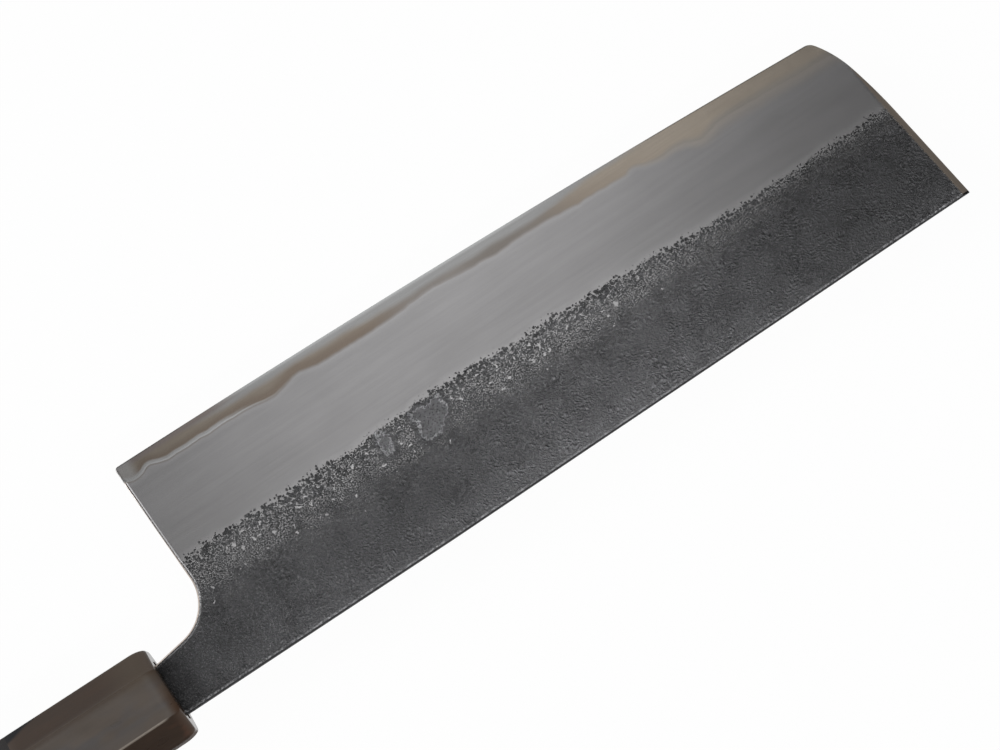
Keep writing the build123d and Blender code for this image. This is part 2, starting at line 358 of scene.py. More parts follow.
class Sheet:
    """One side of the blade as a triangulated sheet, split along the lamination line."""

    def __init__(self, outline, easing, seed):
        self.seed = seed
        self.lay_lamination_line(outline, easing)
        crease = spread(tip_bevel_line(), GRID)[1:-1]
        free = self.free_points(outline, easing, np.array(crease))
        first_line = len(outline)
        first_crease = first_line + len(self.line) - 2
        first_free = first_crease + len(crease)
        everything = np.concatenate((outline, self.line[1:-1], crease, free))
        chain = [self.ends[0], *range(first_line, first_crease), self.ends[1]]
        edges = list(zip(chain[:-1], chain[1:]))
        edges += [(k, k + 1) for k in range(first_crease, first_free - 1)]
        loop = list(range(len(outline)))
        corners = [Vector(point) for point in everything]
        points, _, triangles, origins, _, _ = delaunay_2d_cdt(corners, edges, [loop], 1, 1e-7)
        self.points = np.array([tuple(point) for point in points])
        self.triangles = np.array(triangles)
        self.rim = np.zeros(len(outline), int)
        for index, sources in enumerate(origins):
            for source in sources:
                if source < len(outline):
                    self.rim[source] = index
        a, b, c = (self.points[self.triangles[:, k]] for k in range(3))
        turned = (b - a)[:, 0] * (c - a)[:, 1] - (b - a)[:, 1] * (c - a)[:, 0] < 0
        self.triangles[turned] = self.triangles[turned][:, ::-1]
        centre = (a + b + c) / 3
        self.in_core = centre[:, 1] > np.interp(centre[:, 0], self.line[:, 0], self.line[:, 1])
        self.in_core &= centre[:, 0] > NECK_LENGTH - 1
        self.measure(outline, easing)

    def lay_lamination_line(self, outline, easing):
        x, y = outline.T
        off = np.abs(y - lamination_y(x, 0))
        at_heel = np.where((x < NECK_LENGTH + 2) & (y > 30), off, np.inf)
        at_front = np.where((x > EDGE_TIP_X) & (y > 20), off, np.inf)
        self.ends = [int(np.argmin(at_heel)), int(np.argmin(at_front))]
        start, end = outline[self.ends]
        xs = np.arange(start[0] + 0.3, end[0] - 0.3, 0.3)
        line = np.stack((xs, lamination_y(xs, self.seed)), 1)
        distance, _ = outline_distance(line, outline, easing)
        self.line = np.concatenate(([start], line[distance > 0.25], [end]))

    def free_points(self, outline, easing, crease):
        """Points of the mesh that lie on no line: rings along the outline and an even grid."""
        tangent = np.roll(outline, -1, 0) - np.roll(outline, 1, 0)
        tangent /= np.maximum(norm(tangent, axis=1), 1e-9)[:, None]
        inward = np.stack((-tangent[:, 1], tangent[:, 0]), 1)
        rings = []
        for share in (0.06, 0.2, 0.42, 0.72, 1.05):
            depth = np.maximum(easing, 0.1) * share
            ring = outline + inward * depth[:, None]
            ring_distance, _ = outline_distance(ring, outline, easing)
            rings.append(ring[(ring_distance > 0.9 * depth) & (outline[:, 0] > 0)])
        rows = np.arange(-NECK_SPINE_DEPTH, HEEL_HEIGHT, GRID * 0.866)
        columns = np.arange(-TANG_LENGTH, TIP_X, GRID)
        grid_x, grid_y = np.meshgrid(columns, rows)
        grid_x[1::2] += GRID / 2
        grid = np.stack((grid_x.ravel(), grid_y.ravel()), 1)
        on_tang = grid[:, 0] < 0
        coarse = np.arange(len(grid)) % 7 == 0
        grid = grid[(~on_tang | coarse) & ((grid[:, 0] > -1) | (np.abs(grid[:, 1]) < 4))]
        path_distance, radius = outline_distance(grid, outline, easing)
        inside = inside_outline(grid, outline)
        grid = grid[inside & (path_distance > np.maximum(1.2 * radius, 0.3))]
        free = np.concatenate((*rings, grid))
        line_y = np.interp(free[:, 0], self.line[:, 0], self.line[:, 1])
        free = free[np.abs(free[:, 1] - line_y) > 0.15]
        (x0, y0), (x1, y1) = crease[0], crease[-1]
        across = ((free[:, 0] - x0) * (y1 - y0) - (free[:, 1] - y0) * (x1 - x0))
        across /= hypot(x1 - x0, y1 - y0)
        return free[np.abs(across) > 0.12]

    def measure(self, outline, easing):
        """Height of the sheet and the distances that the materials use."""
        x, y = self.points.T
        distance, radius = outline_distance(self.points, outline, easing)
        self.to_rim = distance
        self.to_edge = edge_curve_y(x) - y
        self.above_border = y - border_y(x)
        slope = np.interp(x, self.line[:, 0], np.gradient(self.line[:, 1], self.line[:, 0]))
        line_y = np.interp(x, self.line[:, 0], self.line[:, 1])
        self.to_lamination = (line_y - y) / np.sqrt(1 + slope**2)
        self.core = np.where(x < 0, core_z(x, 0), core_z(x, y))
        bevel = bevel_z(x, y)
        steeper = bevel_z(x, 1) - bevel_z(x, 0) - face_z(x, 1) + face_z(x, 0)
        forged = face_z(x, y) + steeper * (border_y(x) - shinogi_y(x))
        forged += 0.014 * lumps(x, y, 9, self.seed) + 0.009 * lumps(x, y, 3.1, self.seed + 1)
        forged += 0.006 * lumps(x, y, 1.3, self.seed + 2)
        ground = bevel + 0.004 * lumps(x / 6, y, 4, self.seed + 4)
        gap = ground - forged
        soft = 0.012
        height = (ground + forged - np.sqrt(gap**2 + soft**2)) / 2 + soft / 8
        tip = tip_bevel_z(x, y)
        self.on_tip_bevel = smooth_step(-0.02, 0.02, height - tip)
        height = np.minimum(height, tip)
        dip = np.clip(radius - distance, 0, None)
        height -= radius - np.sqrt(np.clip(radius**2 - dip**2, 0, None))
        half_neck = NECK_THICKNESS / 2 - TANG_FIT
        tang = linear(x, 0, half_neck, -TANG_LENGTH, TANG_END_THICKNESS / 2)
        height = np.where(x < -1, tang, height)
        covered = self.to_lamination > -0.02
        self.height = np.where(covered, np.maximum(height, self.core + 0.01), height)

    def facts(self, index):
        return tuple(float(getattr(self, fact)[index]) for fact in BLADE_FACTS)

    def place(self, index, level):
        x, y = self.points[index]
        return float(x), float(y), float(level)

    def loop(self, chosen):
        """Boundary of the chosen triangles as one ring of points."""
        steps = set()
        for a, b, c in self.triangles[chosen].tolist():
            steps.update(((a, b), (b, c), (c, a)))
        following = {a: b for a, b in steps if (b, a) not in steps}
        ring = [next(iter(following))]
        while following[ring[-1]] != ring[0]:
            ring.append(following[ring[-1]])
        return ring


def tip_bevel_line():
    """Inner border of the ground strip along the front."""
    return (TIP_X - TIP_BEVEL_WIDTH, SPINE_TIP_Y), front_points()[1]


def inside_outline(points, outline):
    """Whether each point lies inside the outline, by counting crossings of a level ray."""
    x, y = points.T
    count = np.zeros(len(points), int)
    for (x0, y0), (x1, y1) in zip(outline, np.roll(outline, -1, 0)):
        if y0 != y1:
            spans = (y0 <= y) != (y1 <= y)
            count += spans & (x < x0 + (x1 - x0) * (y - y0) / (y1 - y0))
    return count % 2 == 1


BLADE_FACTS = ("to_rim", "to_edge", "above_border", "to_lamination", "on_tip_bevel")


def show(thing):
    bpy.context.scene.collection.objects.link(thing)


class Shell:
    """Corners and faces of one closed piece. Corners at the same place are shared."""

    def __init__(self):
        self.corners = []
        self.index = {}
        self.faces = []
        self.facts = []

    def corner(self, place, facts=()):
        key = tuple(round(value, 5) for value in place)
        if key not in self.index:
            self.index[key] = len(self.corners)
            self.corners.append(place)
            self.facts.append(facts)
        return self.index[key]

    def face(self, corners):
        ring = [corner for k, corner in enumerate(corners) if corner != corners[k - 1]]
        if len(set(ring)) > 2:
            self.faces.append(ring)

    def skin(self, sheet, chosen, side):
        """Outer surface over the chosen triangles."""
        names = {}
        for index in np.unique(sheet.triangles[chosen]).tolist():
            place = sheet.place(index, side * sheet.height[index])
            names[index] = self.corner(place, sheet.facts(index))
        for triangle in sheet.triangles[chosen].tolist():
            self.face([names[index] for index in triangle[::side]])

    def plate(self, sheet, ring, side, facing):
        """Flat face between a cladding and the core, inside a ring of points."""
        flat = [Vector((*sheet.points[index], 0)) for index in ring]
        names = [
            self.corner(sheet.place(index, side * sheet.core[index]), sheet.facts(index))
            for index in ring
        ]
        for triangle in tessellate_polygon([flat]):
            a, b, c = (flat[k] for k in triangle)
            upward = (b - a).cross(c - a).z > 0
            ordered = triangle if upward == (facing > 0) else triangle[::-1]
            self.face([names[k] for k in ordered])

    def wall(self, sheet, side, start, end):
        """Upright face between the core's plane and the skin. It faces right of start to end."""
        places = [
            (index, side * level[index])
            for index, level in (
                (start, sheet.core),
                (end, sheet.core),
                (end, sheet.height),
                (start, sheet.height),
            )
        ]
        names = [self.corner(sheet.place(k, level), sheet.facts(k)) for k, level in places]
        self.face(names[::side])

    def piece(self, name, material, fact_names=(), sharp_angle=32):
        mesh = bpy.data.meshes.new(name)
        mesh.from_pydata([[c * MM for c in corner] for corner in self.corners], [], self.faces)
        mesh.validate()
        for place, fact in enumerate(fact_names):
            layer = mesh.attributes.new(fact, "FLOAT", "POINT")
            layer.data.foreach_set("value", [facts[place] for facts in self.facts])
        mesh.shade_smooth()
        mesh.set_sharp_from_angle(angle=radians(sharp_angle))
        mesh.materials.append(material)
        piece = bpy.data.objects.new(name, mesh)
        show(piece)
        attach(piece, "root")
        return piece


def steps_of(ring):
    return list(zip(ring, ring[1:] + ring[:1]))


def build_cladding(name, sheet, side, material):
    shell = Shell()
    ring = sheet.loop(~sheet.in_core)
    shell.skin(sheet, ~sheet.in_core, side)
    shell.plate(sheet, ring, side, -side)
    for start, end in steps_of(ring):
        shell.wall(sheet, side, start, end)
    return shell.piece(name, material, BLADE_FACTS)


def build_core(name, left, right, material):
    shell = Shell()
    for sheet, side in ((left, 1), (right, -1)):
        covered = sheet.loop(~sheet.in_core)
        bare_steps = set(steps_of(sheet.loop(sheet.in_core)))
        shell.skin(sheet, sheet.in_core, side)
        shell.plate(sheet, covered, side, side)
        for start, end in steps_of(covered):
            if (end, start) in bare_steps:
                shell.wall(sheet, side, end, start)
    bare_steps = set(steps_of(left.loop(left.in_core)))
    for step in range(len(left.rim)):
        pair = (step, (step + 1) % len(left.rim))
        bare = (left.rim[pair[0]], left.rim[pair[1]]) in bare_steps
        ring = []
        for k, order in zip(pair, (1, -1)):
            levels = []
            for sheet, side in ((right, -1), (left, 1)):
                index = sheet.rim[k]
                outer = side * (sheet.height if bare else sheet.core)[index]
                stops = [outer, side * sheet.core[index]] if bare and k in left.ends else [outer]
                levels += [(sheet, index, level) for level in stops[::-side]]
            ring += [
                shell.corner(sheet.place(index, level), sheet.facts(index))
                for sheet, index, level in levels[::-order]
            ]
        shell.face(ring)
    return shell.piece(name, material, BLADE_FACTS)


# Handle: rings of points round the axis, joined in order

CORNER_OFFSETS = (-14, -9, -5, -3, -2, -1.3, -0.7, -0.25, 0.25, 0.7, 1.3, 2, 3, 5, 9, 14)


def facet_reaches(x, inset=0.0):
    grown = -x * tan(radians(HANDLE_TAPER_ANGLE)) - inset
    half_corner = (HANDLE_FRONT_HEIGHT + HANDLE_FRONT_WIDTH) / 2 - HANDLE_CORNER_CUT
    half_corner /= sqrt(2)
    four = (HANDLE_FRONT_HEIGHT / 2, half_corner, HANDLE_FRONT_WIDTH / 2, half_corner)
    return [reach + grown for reach in four * 2]


def ring_angles(x):
    """Angles round the handle, close together at the eight long edges."""
    reaches = facet_reaches(x)
    angles = []
    for eighth in range(8):
        near, far = reaches[eighth], reaches[(eighth + 1) % 8]
        along = (far - near * cos(pi / 4)) / sin(pi / 4)
        corner = degrees(atan2(along, near)) + 45 * eighth
        angles += [radians(corner + offset) for offset in CORNER_OFFSETS]
    return np.array(angles)


def handle_ring(x, inset=0.0, power=180):
    """The octagon at one place, with its corners eased by the power."""
    angles = ring_angles(x)
    total = np.zeros(len(angles))
    for eighth, reach in enumerate(facet_reaches(x, inset)):
        total += np.clip(np.cos(angles - eighth * pi / 4) / reach, 0, None) ** power
    radius = total ** (-1 / power)
    return [(x, r * cos(a), r * sin(a)) for r, a in zip(radius, angles)]


def round_ring(x, radius):
    return [(x, radius * cos(a), radius * sin(a)) for a in ring_angles(x)]


def slot_ring(x, gap=0.0):
    """The rounded slot for the neck of the blade."""
    middle = (NECK_TOP_HEIGHT - NECK_SPINE_DEPTH) / 2
    half_height = (NECK_SPINE_DEPTH + NECK_TOP_HEIGHT) / 2 + SLOT_END_GAP + gap
    half_width = NECK_THICKNESS / 2 + SLOT_SIDE_GAP + gap
    ring = []
    for angle in ring_angles(x):
        y, z = cos(angle), sin(angle)
        radius = (abs(y / half_height) ** 16 + abs(z / half_width) ** 16) ** (-1 / 16)
        ring.append((x, middle + radius * y, radius * z))
    return ring


def part_way(first, second, share):
    return [tuple(a + (b - a) * share for a, b in zip(p, q)) for p, q in zip(first, second)]


def loft(name, rings, material):
    """A closed piece through rings that run round it, the last one joined to the first."""
    shell = Shell()
    for ring, following in zip(rings, rings[1:] + rings[:1]):
        names = [shell.corner(place) for place in ring]
        next_names = [shell.corner(place) for place in following]
        for k in range(len(names)):
            shell.face([names[k - 1], names[k], next_names[k], next_names[k - 1]])
    return shell.piece(name, material, sharp_angle=40)


def build_ferrule(material):
    rings = [handle_ring(-FERRULE_LENGTH, SEAM_DEPTH), handle_ring(-FERRULE_LENGTH + 0.12)]
    rings += [handle_ring(x) for x in np.linspace(-FERRULE_LENGTH + 2, -6, 10)]
    for angle in np.radians(np.linspace(0, 90, 15)):
        x = -FRONT_ROUNDING_REACH * (1 - sin(angle))
        inset = FRONT_ROUNDING_DEPTH * (1 - cos(angle))
        rings.append(handle_ring(x, inset, 180 - 120 * sin(angle)))
    front, mouth = rings[-1], slot_ring(0, 0.12)
    rings += [part_way(front, mouth, share) for share in (0.3, 0.6)]
    rings += [mouth, slot_ring(-0.05, 0.03), slot_ring(-0.15), slot_ring(-FERRULE_WALL)]
    rings += [round_ring(x, DOWEL_DIAMETER / 2) for x in (-FERRULE_WALL, -FERRULE_LENGTH)]
    return loft("horn_ferrule", rings, material)


def build_handle(material):
    rings = [round_ring(-FERRULE_LENGTH, DOWEL_DIAMETER / 2)]
    rings += [round_ring(-FERRULE_WALL - DOWEL_LENGTH, r) for r in (DOWEL_DIAMETER / 2, 0.0)]
    rings.append(round_ring(-HANDLE_LENGTH, 0.0))
    for angle in np.radians(np.linspace(90, 0, 9)):
        x = -HANDLE_LENGTH + BUTT_ROUNDING * (1 - sin(angle))
        inset = BUTT_ROUNDING * (1 - cos(angle))
        rings.append(handle_ring(x, inset, 180 - 100 * sin(angle)))
    rings += [handle_ring(x) for x in np.linspace(-HANDLE_LENGTH + 3, -FERRULE_LENGTH - 2, 24)]
    rings += [handle_ring(-FERRULE_LENGTH - 0.12), handle_ring(-FERRULE_LENGTH, SEAM_DEPTH)]
    return loft("ebony_handle", rings, material)


# Materials


class Graph:
    """Short ways to add shader nodes to one material. Sizes are in millimetres."""

    def __init__(self, name):
        self.material = bpy.data.materials.new(name)
        self.material.use_nodes = True
        self.tree = self.material.node_tree
        self.shader = self.tree.nodes["Principled BSDF"]
        place = self.add("TexCoord").outputs["Object"]
        self.place = self.add("VectorMath", {0: place, 1: (1000,) * 3}, operation="MULTIPLY")
        self.place = self.place.outputs[0]
        split = self.add("SeparateXYZ", {0: self.place})
        self.x, self.y, self.z = split.outputs

    def put(self, socket, value):
        if isinstance(value, bpy.types.NodeSocket):
            self.tree.links.new(value, socket)
        else:
            socket.default_value = value

    def add(self, kind, inputs=None, **settings):
        node = self.tree.nodes.new("ShaderNode" + kind)
        for name, value in settings.items():
            setattr(node, name, value)
        for socket, value in (inputs or {}).items():
            self.put(node.inputs[socket], value)
        return node

    def fact(self, name):
        return self.add("Attribute", attribute_name=name).outputs["Fac"]

    def math(self, operation, *values):
        return self.add("Math", dict(enumerate(values)), operation=operation).outputs[0]

    def chain(self, operation, values):
        """The operation over all the values, one after the other."""
        result = values[0]
        for value in values[1:]:
            result = self.math(operation, result, value)
        return result

    def total(self, *values):
        return self.chain("ADD", values)

    def times(self, *values):
        return self.chain("MULTIPLY", values)

    def minus(self, first, second):
        return self.math("SUBTRACT", first, second)

    def either(self, *values):
        """The largest of the values."""
        return self.chain("MAXIMUM", values)

    def between(self, value, low, high, start=0.0, end=1.0):
        """Runs smoothly from start at low to end at high. Low may be above high."""
        if low > high:
            low, high, start, end = high, low, end, start
        inputs = {0: value, 1: low, 2: high, 3: start, 4: end}
        return self.add("MapRange", inputs, interpolation_type="SMOOTHSTEP").outputs[0]

    def noise(self, size, detail=2.0, roughness=0.5, shift=0.0):
        """Noise from 0 to 1, with lumps of the given size or three sizes."""
        sizes = size if isinstance(size, tuple) else (size,) * 3
        scaled = self.add(
            "VectorMath",
            {0: self.place, 1: tuple(1 / s for s in sizes), 2: (shift, shift, shift)},
            operation="MULTIPLY_ADD",
        )
        inputs = {"Vector": scaled.outputs[0], "Scale": 1.0}
        inputs.update({"Detail": detail, "Roughness": roughness})
        return self.add("TexNoise", inputs).outputs[0]

    def cells(self, size, ragged, shift):
        """Distance to the nearest of scattered points as a share of size, and its random number."""
        scaled = self.add(
            "VectorMath",
            {0: self.place, 1: (1 / size,) * 3, 2: (shift, shift, 0.0)},
            operation="MULTIPLY_ADD",
        ).outputs[0]
        wobble = self.add("TexNoise", {"Vector": scaled, "Scale": 1.7, "Detail": 2.0}).outputs[1]
        moved = self.add(
            "VectorMath", {0: wobble, 1: (ragged,) * 3, 2: scaled}, operation="MULTIPLY_ADD"
        )
        inputs = {"Vector": moved.outputs[0], "Scale": 1.0}
        points = self.add("TexVoronoi", inputs, voronoi_dimensions="2D").outputs
        lot = self.add("SeparateXYZ", {0: points["Color"]}).outputs[0]
        return points["Distance"], lot

    def wrinkles(self, length, width, step, shift):
        """Noise of slanting strokes, read a step above each place, at it, and a step below."""
        slant = radians(33.0)
        along = self.total(
            self.times(self.x, cos(slant) / length),
            self.times(self.y, -sin(slant) / length),
        )
        across = self.total(
            self.times(self.x, sin(slant) / width),
            self.times(self.y, cos(slant) / width),
        )
        bend = self.times(self.minus(self.noise(4.0, 2, 0.5, shift), 0.5), 7.0)
        readings = []
        for offset in (step / width, 0.0, -step / width):
            moved = self.total(across, bend, offset)
            place = self.add("CombineXYZ", {0: along, 1: moved, 2: shift}).outputs[0]
            inputs = {"Vector": place, "Scale": 1.0, "Detail": 3.0, "Roughness": 0.6}
            readings.append(self.add("TexNoise", inputs).outputs[0])
        return readings

    def mix(self, share, first, second):
        node = self.add("Mix", {0: share, 6: first, 7: second}, data_type="RGBA")
        return node.outputs[2]

    def blend(self, share, first, second):
        return self.add("Mix", {0: share, 2: first, 3: second}, data_type="FLOAT").outputs[0]

    def tone(self, colour, factor):
        """The colour made lighter or darker by a factor."""
        if isinstance(colour, tuple):
            colour = colour[:3]
        inputs = {0: colour, "Scale": factor}
        return self.add("VectorMath", inputs, operation="SCALE").outputs[0]

    def finish(self, bump=None, bump_height=0.0, **sockets):
        if bump is not None:
            inputs = {"Height": bump, "Distance": bump_height * MM, "Strength": 1.0}
            self.put(self.shader.inputs["Normal"], self.add("Bump", inputs).outputs[0])
        for name, value in sockets.items():
            self.put(self.shader.inputs[name.replace("_", " ")], value)
        return self.material


def rgb(red, green, blue):
    return (red, green, blue, 1.0)


def grey(level):
    return (level, level, level, 1.0)


def patch_distance(graph, x, y, reach_x, reach_y, square, shift):
    """Distance to the middle of a ragged patch in millimetres, less than 0 inside its outline.

    A square patch has upright sides and one corner cut off; any other is rounded.
    """
    across = graph.math("DIVIDE", graph.minus(graph.x, x), reach_x)
    up = graph.math("DIVIDE", graph.minus(graph.y, y), reach_y)
    if square:
        away = graph.either(
            graph.math("ABSOLUTE", across), graph.math("ABSOLUTE", up), graph.minus(across, up)
        )
    else:
        away = graph.math("SQRT", graph.total(graph.times(across, across), graph.times(up, up)))
    away = graph.times(graph.minus(away, 1.0), min(reach_x, reach_y))
    wobble = graph.minus(graph.noise(1.9, 3, 0.6, shift), 0.5)
    notches = graph.minus(graph.noise(0.6, 3, 0.6, shift + 1), 0.5)
    return graph.total(away, graph.times(wobble, 2.4), graph.times(notches, 2.6))


# Patina of the hard core: in the middle, at the tip, and polished bright along the front
BROWN_STEEL = (0.166, 0.137, 0.113, 1.0)
TIP_STEEL = (0.32, 0.281, 0.236, 1.0)
POLISHED_STEEL = (0.33, 0.28, 0.235, 1.0)


def cladding_material(name, patches, shift):
    """Soft iron: forge scale above, a ground bevel below, and flecks where the grinding stops."""
    graph = Graph(name)
    between, noise, mix, blend = graph.between, graph.noise, graph.mix, graph.blend
    times, total, minus, fact = graph.times, graph.total, graph.minus, graph.fact
    either, x, y = graph.either, graph.x, graph.y
    above = fact("above_border")
    to_rim = fact("to_rim")
    to_lamination = fact("to_lamination")
    on_tip_bevel = fact("on_tip_bevel")

    wander = minus(noise(5, 2, 0.5, shift), 0.5)
    border = total(above, times(wander, 2.2))
    width = between(x, 90, 170, 1, 0.55)
    behind = graph.math("DIVIDE", border, width)
    patchy = minus(noise(2.6, 2, 0.5, shift + 5), 0.5)
    pits, pit_lot = graph.cells(0.78, 0.9, shift + 3)
    pit_reach = total(
        between(border, 3.2, 0, -0.5, 0.36),
        between(behind, -2, -6, 0, -0.5),
        between(x, 140, 180, 0, -0.16),
        patchy,
        times(minus(pit_lot, 0.5), 0.3),
    )
    clear = between(minus(pits, pit_reach), -0.05, 0.05)
    motes, mote_lot = graph.cells(0.36, 0.9, shift + 9)
    mote_reach = total(
        between(border, 1.4, -0.2, 1.4, 0.58),
        between(behind, -0.2, -24, 0, -0.66),
        times(patchy, 0.6),
        times(mote_lot, -0.25),
    )
    in_motes = between(minus(motes, mote_reach), 0.12, -0.12)
    discs, lot = graph.cells(1.4, 1.3, shift + 21)
    rare = between(behind, -1, -13, 0.78, 1)
    disc_reach = total(minus(lot, rare), 0.16)
    discs = between(minus(discs, disc_reach), 0, -0.06)
    discs = times(discs, graph.math("GREATER_THAN", lot, rare), between(x, 150, 130))
    discs = times(discs, between(border, 0, -1.5))
    ground = either(times(clear, in_motes), discs)
    patch_rim = 0
    patch_inside = 0
    patch_moat = 0
    for patch in patches:
        away = patch_distance(graph, *patch, shift)
        patch_inside = either(patch_inside, between(away, 0.06, -0.06))
        patch_moat = either(patch_moat, between(away, 1.5, 0.3))
        ring = times(between(away, -0.42, -0.26), between(away, 0.1, 0))
        patch_rim = either(patch_rim, ring)
    ground = times(
        ground,
        minus(1, patch_inside),
        blend(times(patch_moat, between(border, 0.6, -0.6)), 1, 0.15),
    )
    by_spine = between(y, 2, 1)
    spine_wall = times(by_spine, between(to_rim, 0.3, 0.2))
    # Painted highlight: a broken light line along the eased spine edge.
    dotted = between(noise(0.6, 2, 0.6, shift + 23), 0.42, 0.6, 0.15, 1)
    spine_highlight = times(between(to_rim, 0.76, 0.6), between(to_rim, 0.24, 0.36))
    spine_highlight = times(spine_highlight, by_spine, dotted)
    by_heel = times(between(y, 4, 6), between(x, 20, 17))
    foot = between(y, 30, 14, 0.1, 0.34)
    from_foot = minus(to_rim, foot)
    # Along the heel rim, from the outside in: a beige line painted as the white floor's reflection,
    # a dark line of painted shade, and a light line that is partly bare steel and partly a painted
    # highlight.
    heel_rim_reflection = times(by_heel, between(from_foot, 0.05, -0.03))
    heel_shade = times(between(from_foot, 0, 0.06), by_heel, between(from_foot, 0.24, 0.18))
    heel_line = times(between(from_foot, 0.2, 0.26), by_heel, between(from_foot, 0.55, 0.42))
    heel_line = times(heel_line, between(y, 12, 24, 0.35, 1))

    streaks = noise((22, 1.6, 6), 3, 0.5, shift)
    fine_streaks = noise((12, 0.3, 4), 3, 0.6, shift + 5)
    clouds = noise(11, 3, 0.5, shift)
    soot = noise(0.3, 3, 0.65, shift + 13)
    tip_share = between(x, 100, 160)
    halo = between(border, 2.3, 0.5)
    line_halo = times(between(to_lamination, 1.6, 0.3), between(to_lamination, -0.1, 0.15))
    level = total(
        0.184,
        times(streaks, 0.045),
        times(fine_streaks, between(x, 120, 150, 0.03, 0.006)),
        times(clouds, 0.03),
        times(halo, 0.045),
        times(line_halo, 0.025),
        between(y, 27, 34, 0, 0.014),
    )
    in_scale = between(border, -0.2, -1.6)
    grain_level = times(
        between(behind, -1, -13, 0.28, 0.15),
        total(mote_lot, 0.5),
        between(x, 120, 175, 1, 0.5),
    )
    grain_level = blend(discs, grain_level, 0.36)
    level = blend(in_scale, level, grain_level)
    # Painted highlight and painted shade along the heel rim.
    level = blend(times(heel_line, 0.95), level, 0.85)
    level = blend(times(heel_shade, 0.8), level, 0.05)
    steel = graph.tone(rgb(1, 0.985, 0.995), level)
    # Painted reflection of the white floor on the outer heel rim.
    steel = mix(heel_rim_reflection, steel, rgb(0.58, 0.51, 0.46))
    blur = between(x, 135, 165, 0.5, 3.2)
    warm = between(graph.math("DIVIDE", to_lamination, blur), 1, 0, 0, 0.5)
    steel = mix(warm, steel, mix(tip_share, BROWN_STEEL, TIP_STEEL))
    steel = mix(on_tip_bevel, steel, POLISHED_STEEL)
    # Painted shadow: a dark line along the foot of the ground strip, under the spine.
    strip_foot_shadow = between(y, SPINE_TIP_Y + 0.55, SPINE_TIP_Y + 0.4)
    steel = mix(strip_foot_shadow, steel, grey(0.03))

    mottle = noise((3.2, 2, 3), 4, 0.62, shift + 11)
    upper, wrinkle, lower = graph.wrinkles(0.7, 0.45, 0.13, shift + 15)
    relief = total(times(wrinkle, 0.5), times(soot, 0.5))
    wrinkled = between(noise(4, 3, 0.6, shift + 51), 0.4, 0.6, 0.5, 2.3)
    wrinkled = times(wrinkled, between(x, 20, 80, 0.5, 1))
    # Painted light and shade: each wrinkle is drawn lighter on one side and darker on the other.
    shading = times(minus(upper, lower), wrinkled)
    shading = times(shading, total(0.35, times(graph.math("ABSOLUTE", shading), 2.2)))
    folds = noise((2, 1.1, 2), 3, 0.6, shift + 43)
    folds = between(graph.math("ABSOLUTE", minus(folds, 0.5)), 0, 0.035)
    folded = between(noise(7, 2, 0.5, shift + 47), 0.42, 0.58)
    folds = blend(folded, 1, folds)
    stipple = between(noise(0.32, 2, 0.6, shift + 41), 0.58, 0.68)
    # Painted highlights on the crests of the strongest wrinkles.
    ridge_highlights = times(between(wrinkle, 0.6, 0.68), between(wrinkled, 1, 2.3))
    dark = total(
        0.1,
        times(ridge_highlights, 0.06),
        times(between(relief, 0.44, 0.64), 0.06),
        times(minus(mottle, 0.5), 0.025),
        times(stipple, between(x, 60, 20, 0.02, 0.12)),
    )
    # Painted shadow: darker within about 2 mm of the ferrule. Painted light: lighter in the middle
    # of the blade and darker towards the heel and the tip, as the lamps fall along it.
    dark = times(
        dark,
        between(total(shading, 1), 0.2, 1.8, 0.4, 1.6),
        between(x, 0, 2.2, 0.6, 1),
        between(border, -1.5, 0.3, 1, 0.7),
        between(x, 40, 10, 1, 0.72),
        between(x, 60, 100, 1, 1.28),
        between(x, 120, 178, 1, 0.56),
        between(y, 3, -4, 1, 1.25),
    )
    # Colour of the worn patches of scale, with a lighter rim and darker pocks.
    wear_and_highlight = total(0.18, times(soot, 0.06), times(patch_rim, 0.26))
    pocks = between(graph.cells(0.7, 0.6, shift + 31)[0], 0.26, 0.18)
    wear_and_highlight = times(wear_and_highlight, minus(1, times(pocks, 0.45)))
    dark = blend(patch_inside, dark, wear_and_highlight)
    # The scale is painted lighter along the eased spine edge, a painted highlight.
    dark = blend(spine_highlight, dark, 0.42)
    dark = blend(spine_wall, dark, 0.055)
    scale = graph.tone(rgb(1, 1, 1.035), dark)

    # Steel shows where the grinding bared it and on the ground strip; along the heel rim it carries
    # the painted highlight, shade and reflection.
    bare = either(ground, on_tip_bevel, heel_line, heel_rim_reflection, heel_shade)
    height = total(
        minus(times(soot, 0.6), 0.3),
        minus(times(wrinkle, 0.7), 0.35),
        minus(times(mottle, 0.4), 0.2),
        times(minus(folds, 1), 0.22),
    )
    height = blend(bare, height, 0.04)
    scale_metal = blend(spine_wall, 0.75, 0)
    scale_blur = blend(spine_wall, total(0.24, times(mottle, 0.12)), 0.7)
    return graph.finish(
        bump=height,
        bump_height=0.5,
        Base_Color=mix(bare, scale, steel),
        Metallic=blend(bare, scale_metal, 1),
        Roughness=blend(bare, scale_blur, 0.22),
        Specular_IOR_Level=0.15,
    )


